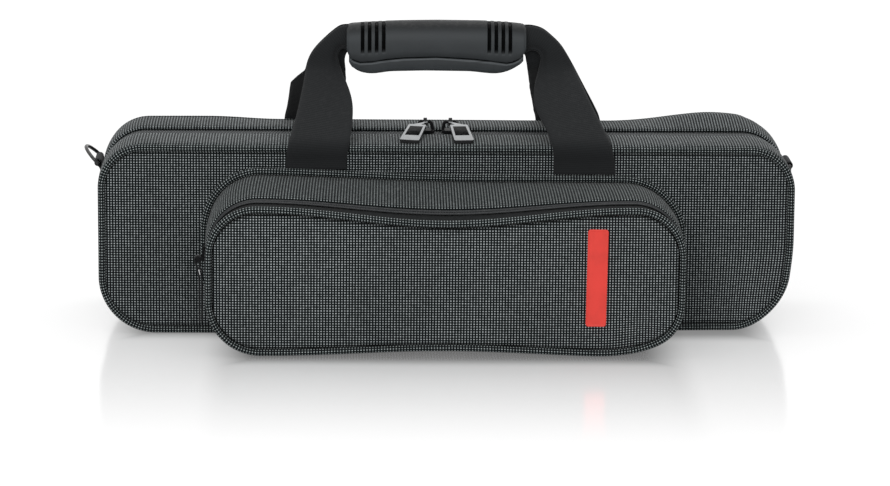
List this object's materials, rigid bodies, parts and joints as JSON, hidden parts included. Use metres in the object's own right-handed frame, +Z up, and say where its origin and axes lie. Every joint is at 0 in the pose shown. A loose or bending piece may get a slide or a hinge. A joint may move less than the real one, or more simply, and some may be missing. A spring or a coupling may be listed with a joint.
{
  "type": "flute case",
  "caption": "Soft flute case with a zipped lid on a fabric hinge, fitted cradle, twin webbing handles with a wrapped grip, front pocket and strap rings",
  "frame": {"origin": "On the floor under the middle of the case, on the line where the lid's fabric hinge folds.", "axes": "+X along the case to the right of someone facing the pocket, -Y out of the pocket side, +Z up to the handle."},
  "size_m": [0.4528, 0.1693, 0.1905],
  "materials": {
    "dotted_fabric": "woven polyester, matt charcoal with a fine grid of pale dots",
    "dark_piping": "fabric-covered cord, matt near-black",
    "black_tape": "woven zip tape, matt black",
    "black_coil": "nylon coil, satin black",
    "black_webbing": "ribbed polyester webbing, matt black",
    "grip_rubber": "moulded dark grey-black, satin",
    "touch_fastener": "hook and loop, matt black",
    "foam": "rigid foam faced with dark lining",
    "plush": "short-pile plush lining, near-black",
    "pull_metal": "die-cast, satin light grey",
    "slider_black": "black enamelled zinc, satin",
    "ring_black": "black enamelled steel wire, satin",
    "red_rubber": "plain red rubber, matt"
  },
  "bodies": {
    "rear_shell": {"rear_gusset": "dotted_fabric", "rear_panel": "dotted_fabric", "rear_piping": "dark_piping", "rear_foam_tray": "foam", "flute_cradle": "plush", "rear_zip_tape": "black_tape", "rear_zip_coil": "black_coil", "rear_hinge_strip": "black_tape", "rear_handle": "black_webbing", "left_ring_tab": "black_webbing", "right_ring_tab": "black_webbing", "grip_wrap": "grip_rubber", "grip_loop_strip": "touch_fastener"},
    "lid": {"lid_gusset": "dotted_fabric", "lid_panel": "dotted_fabric", "lid_piping": "dark_piping", "lid_foam_tray": "foam", "lid_pad": "plush", "lid_zip_tape": "black_tape", "lid_zip_coil": "black_coil", "lid_hinge_strip": "black_tape", "front_handle": "black_webbing", "pocket_gusset": "dotted_fabric", "pocket_base_piping": "dark_piping", "pocket_rear_tape": "black_tape", "pocket_rear_coil": "black_coil"},
    "pocket_flap": {"pocket_front_tape": "black_tape", "pocket_front_coil": "black_coil", "pocket_panel": "dotted_fabric", "pocket_piping": "dark_piping", "pocket_tag": "red_rubber"},
    "pocket_slider": {"pocket_slider": "slider_black"},
    "pocket_pull": {"pocket_pull": "black_webbing"},
    "left_slider": {"left_slider": "slider_black"},
    "right_slider": {"right_slider": "slider_black"},
    "left_pull": {"left_pull": "pull_metal"},
    "right_pull": {"right_pull": "pull_metal"},
    "left_ring": {"left_ring": "ring_black"},
    "right_ring": {"right_ring": "ring_black"},
    "grip_flap": {"grip_flap": "grip_rubber", "grip_hook_strip": "touch_fastener"}
  },
  "joints": [
    {"name": "lid_hinge", "type": "hinge", "parent": "rear_shell", "child": "lid", "pos_m": [0, 0, 0], "axis": [1, 0, 0], "range_deg": [0, 180], "deforming": ["front_handle"]},
    {"name": "pocket_flap_hinge", "type": "hinge", "parent": "lid", "child": "pocket_flap", "pos_m": [0, -0.1126, 0.003], "axis": [1, 0, 0], "range_deg": [0, 75]},
    {"name": "pocket_slider_run", "type": "hinge", "parent": "lid", "child": "pocket_slider", "pos_m": [-0.11682, -0.0974, 0.06362], "axis": [0, 1, 0], "range_deg": [0, 85]},
    {"name": "pocket_pull_swing", "type": "hinge", "parent": "pocket_slider", "child": "pocket_pull", "pos_m": [-0.1532, -0.0974, 0.05819], "axis": [0, 1, 0], "range_deg": [0, 110]},
    {"name": "left_slider_run", "type": "slide", "parent": "rear_shell", "child": "left_slider", "axis": [-1, 0, 0], "range_m": [0, 0.165]},
    {"name": "right_slider_run", "type": "slide", "parent": "rear_shell", "child": "right_slider", "axis": [1, 0, 0], "range_m": [0, 0.175]},
    {"name": "left_pull_swing", "type": "hinge", "parent": "left_slider", "child": "left_pull", "pos_m": [-0.0129, 0, 0.1258], "axis": [-1, 0, 0], "range_deg": [0, 55]},
    {"name": "right_pull_swing", "type": "hinge", "parent": "right_slider", "child": "right_pull", "pos_m": [0.003, 0, 0.1258], "axis": [-1, 0, 0], "range_deg": [0, 55]},
    {"name": "left_ring_swing", "type": "hinge", "parent": "rear_shell", "child": "left_ring", "pos_m": [-0.2204, 0.025, 0.096], "axis": [0, 1, 0], "range_deg": [-133, 35]},
    {"name": "right_ring_swing", "type": "hinge", "parent": "rear_shell", "child": "right_ring", "pos_m": [0.2204, 0.025, 0.096], "axis": [0, -1, 0], "range_deg": [0, 168]},
    {"name": "grip_flap_hinge", "type": "hinge", "parent": "rear_shell", "child": "grip_flap", "pos_m": [0, 0.0076, 0.1867], "axis": [-1, 0, 0], "range_deg": [0, 110]}
  ]
}
